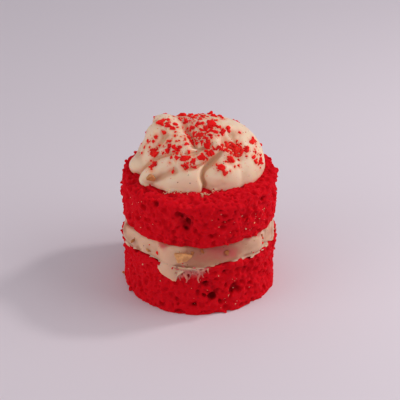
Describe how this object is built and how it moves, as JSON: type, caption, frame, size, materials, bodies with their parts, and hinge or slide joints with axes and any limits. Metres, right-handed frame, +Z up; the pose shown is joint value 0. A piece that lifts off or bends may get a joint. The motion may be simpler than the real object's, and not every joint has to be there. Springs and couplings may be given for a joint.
{
  "type": "red velvet cake",
  "caption": "Small round layer cake of two red sponge discs with a cream and nut filling, topped with a piped cream swirl and red cake crumbs.",
  "frame": {"origin": "centre of the flat round foot that the cake stands on", "axes": "+Z up through both discs, -Y towards the front, where the filling droops over the lower disc, +X to the right"},
  "size_m": [0.0513, 0.0542, 0.0583],
  "materials": {
    "sponge": "matte open red cake crumb",
    "filling_cream": "soft cream with nut pieces",
    "swirl_cream": "smooth satin cream with red crumbs"
  },
  "bodies": {
    "root": {"sponge_bottom": "sponge", "filling": "filling_cream", "sponge_top": "sponge", "frosting": "swirl_cream"}
  },
  "joints": []
}
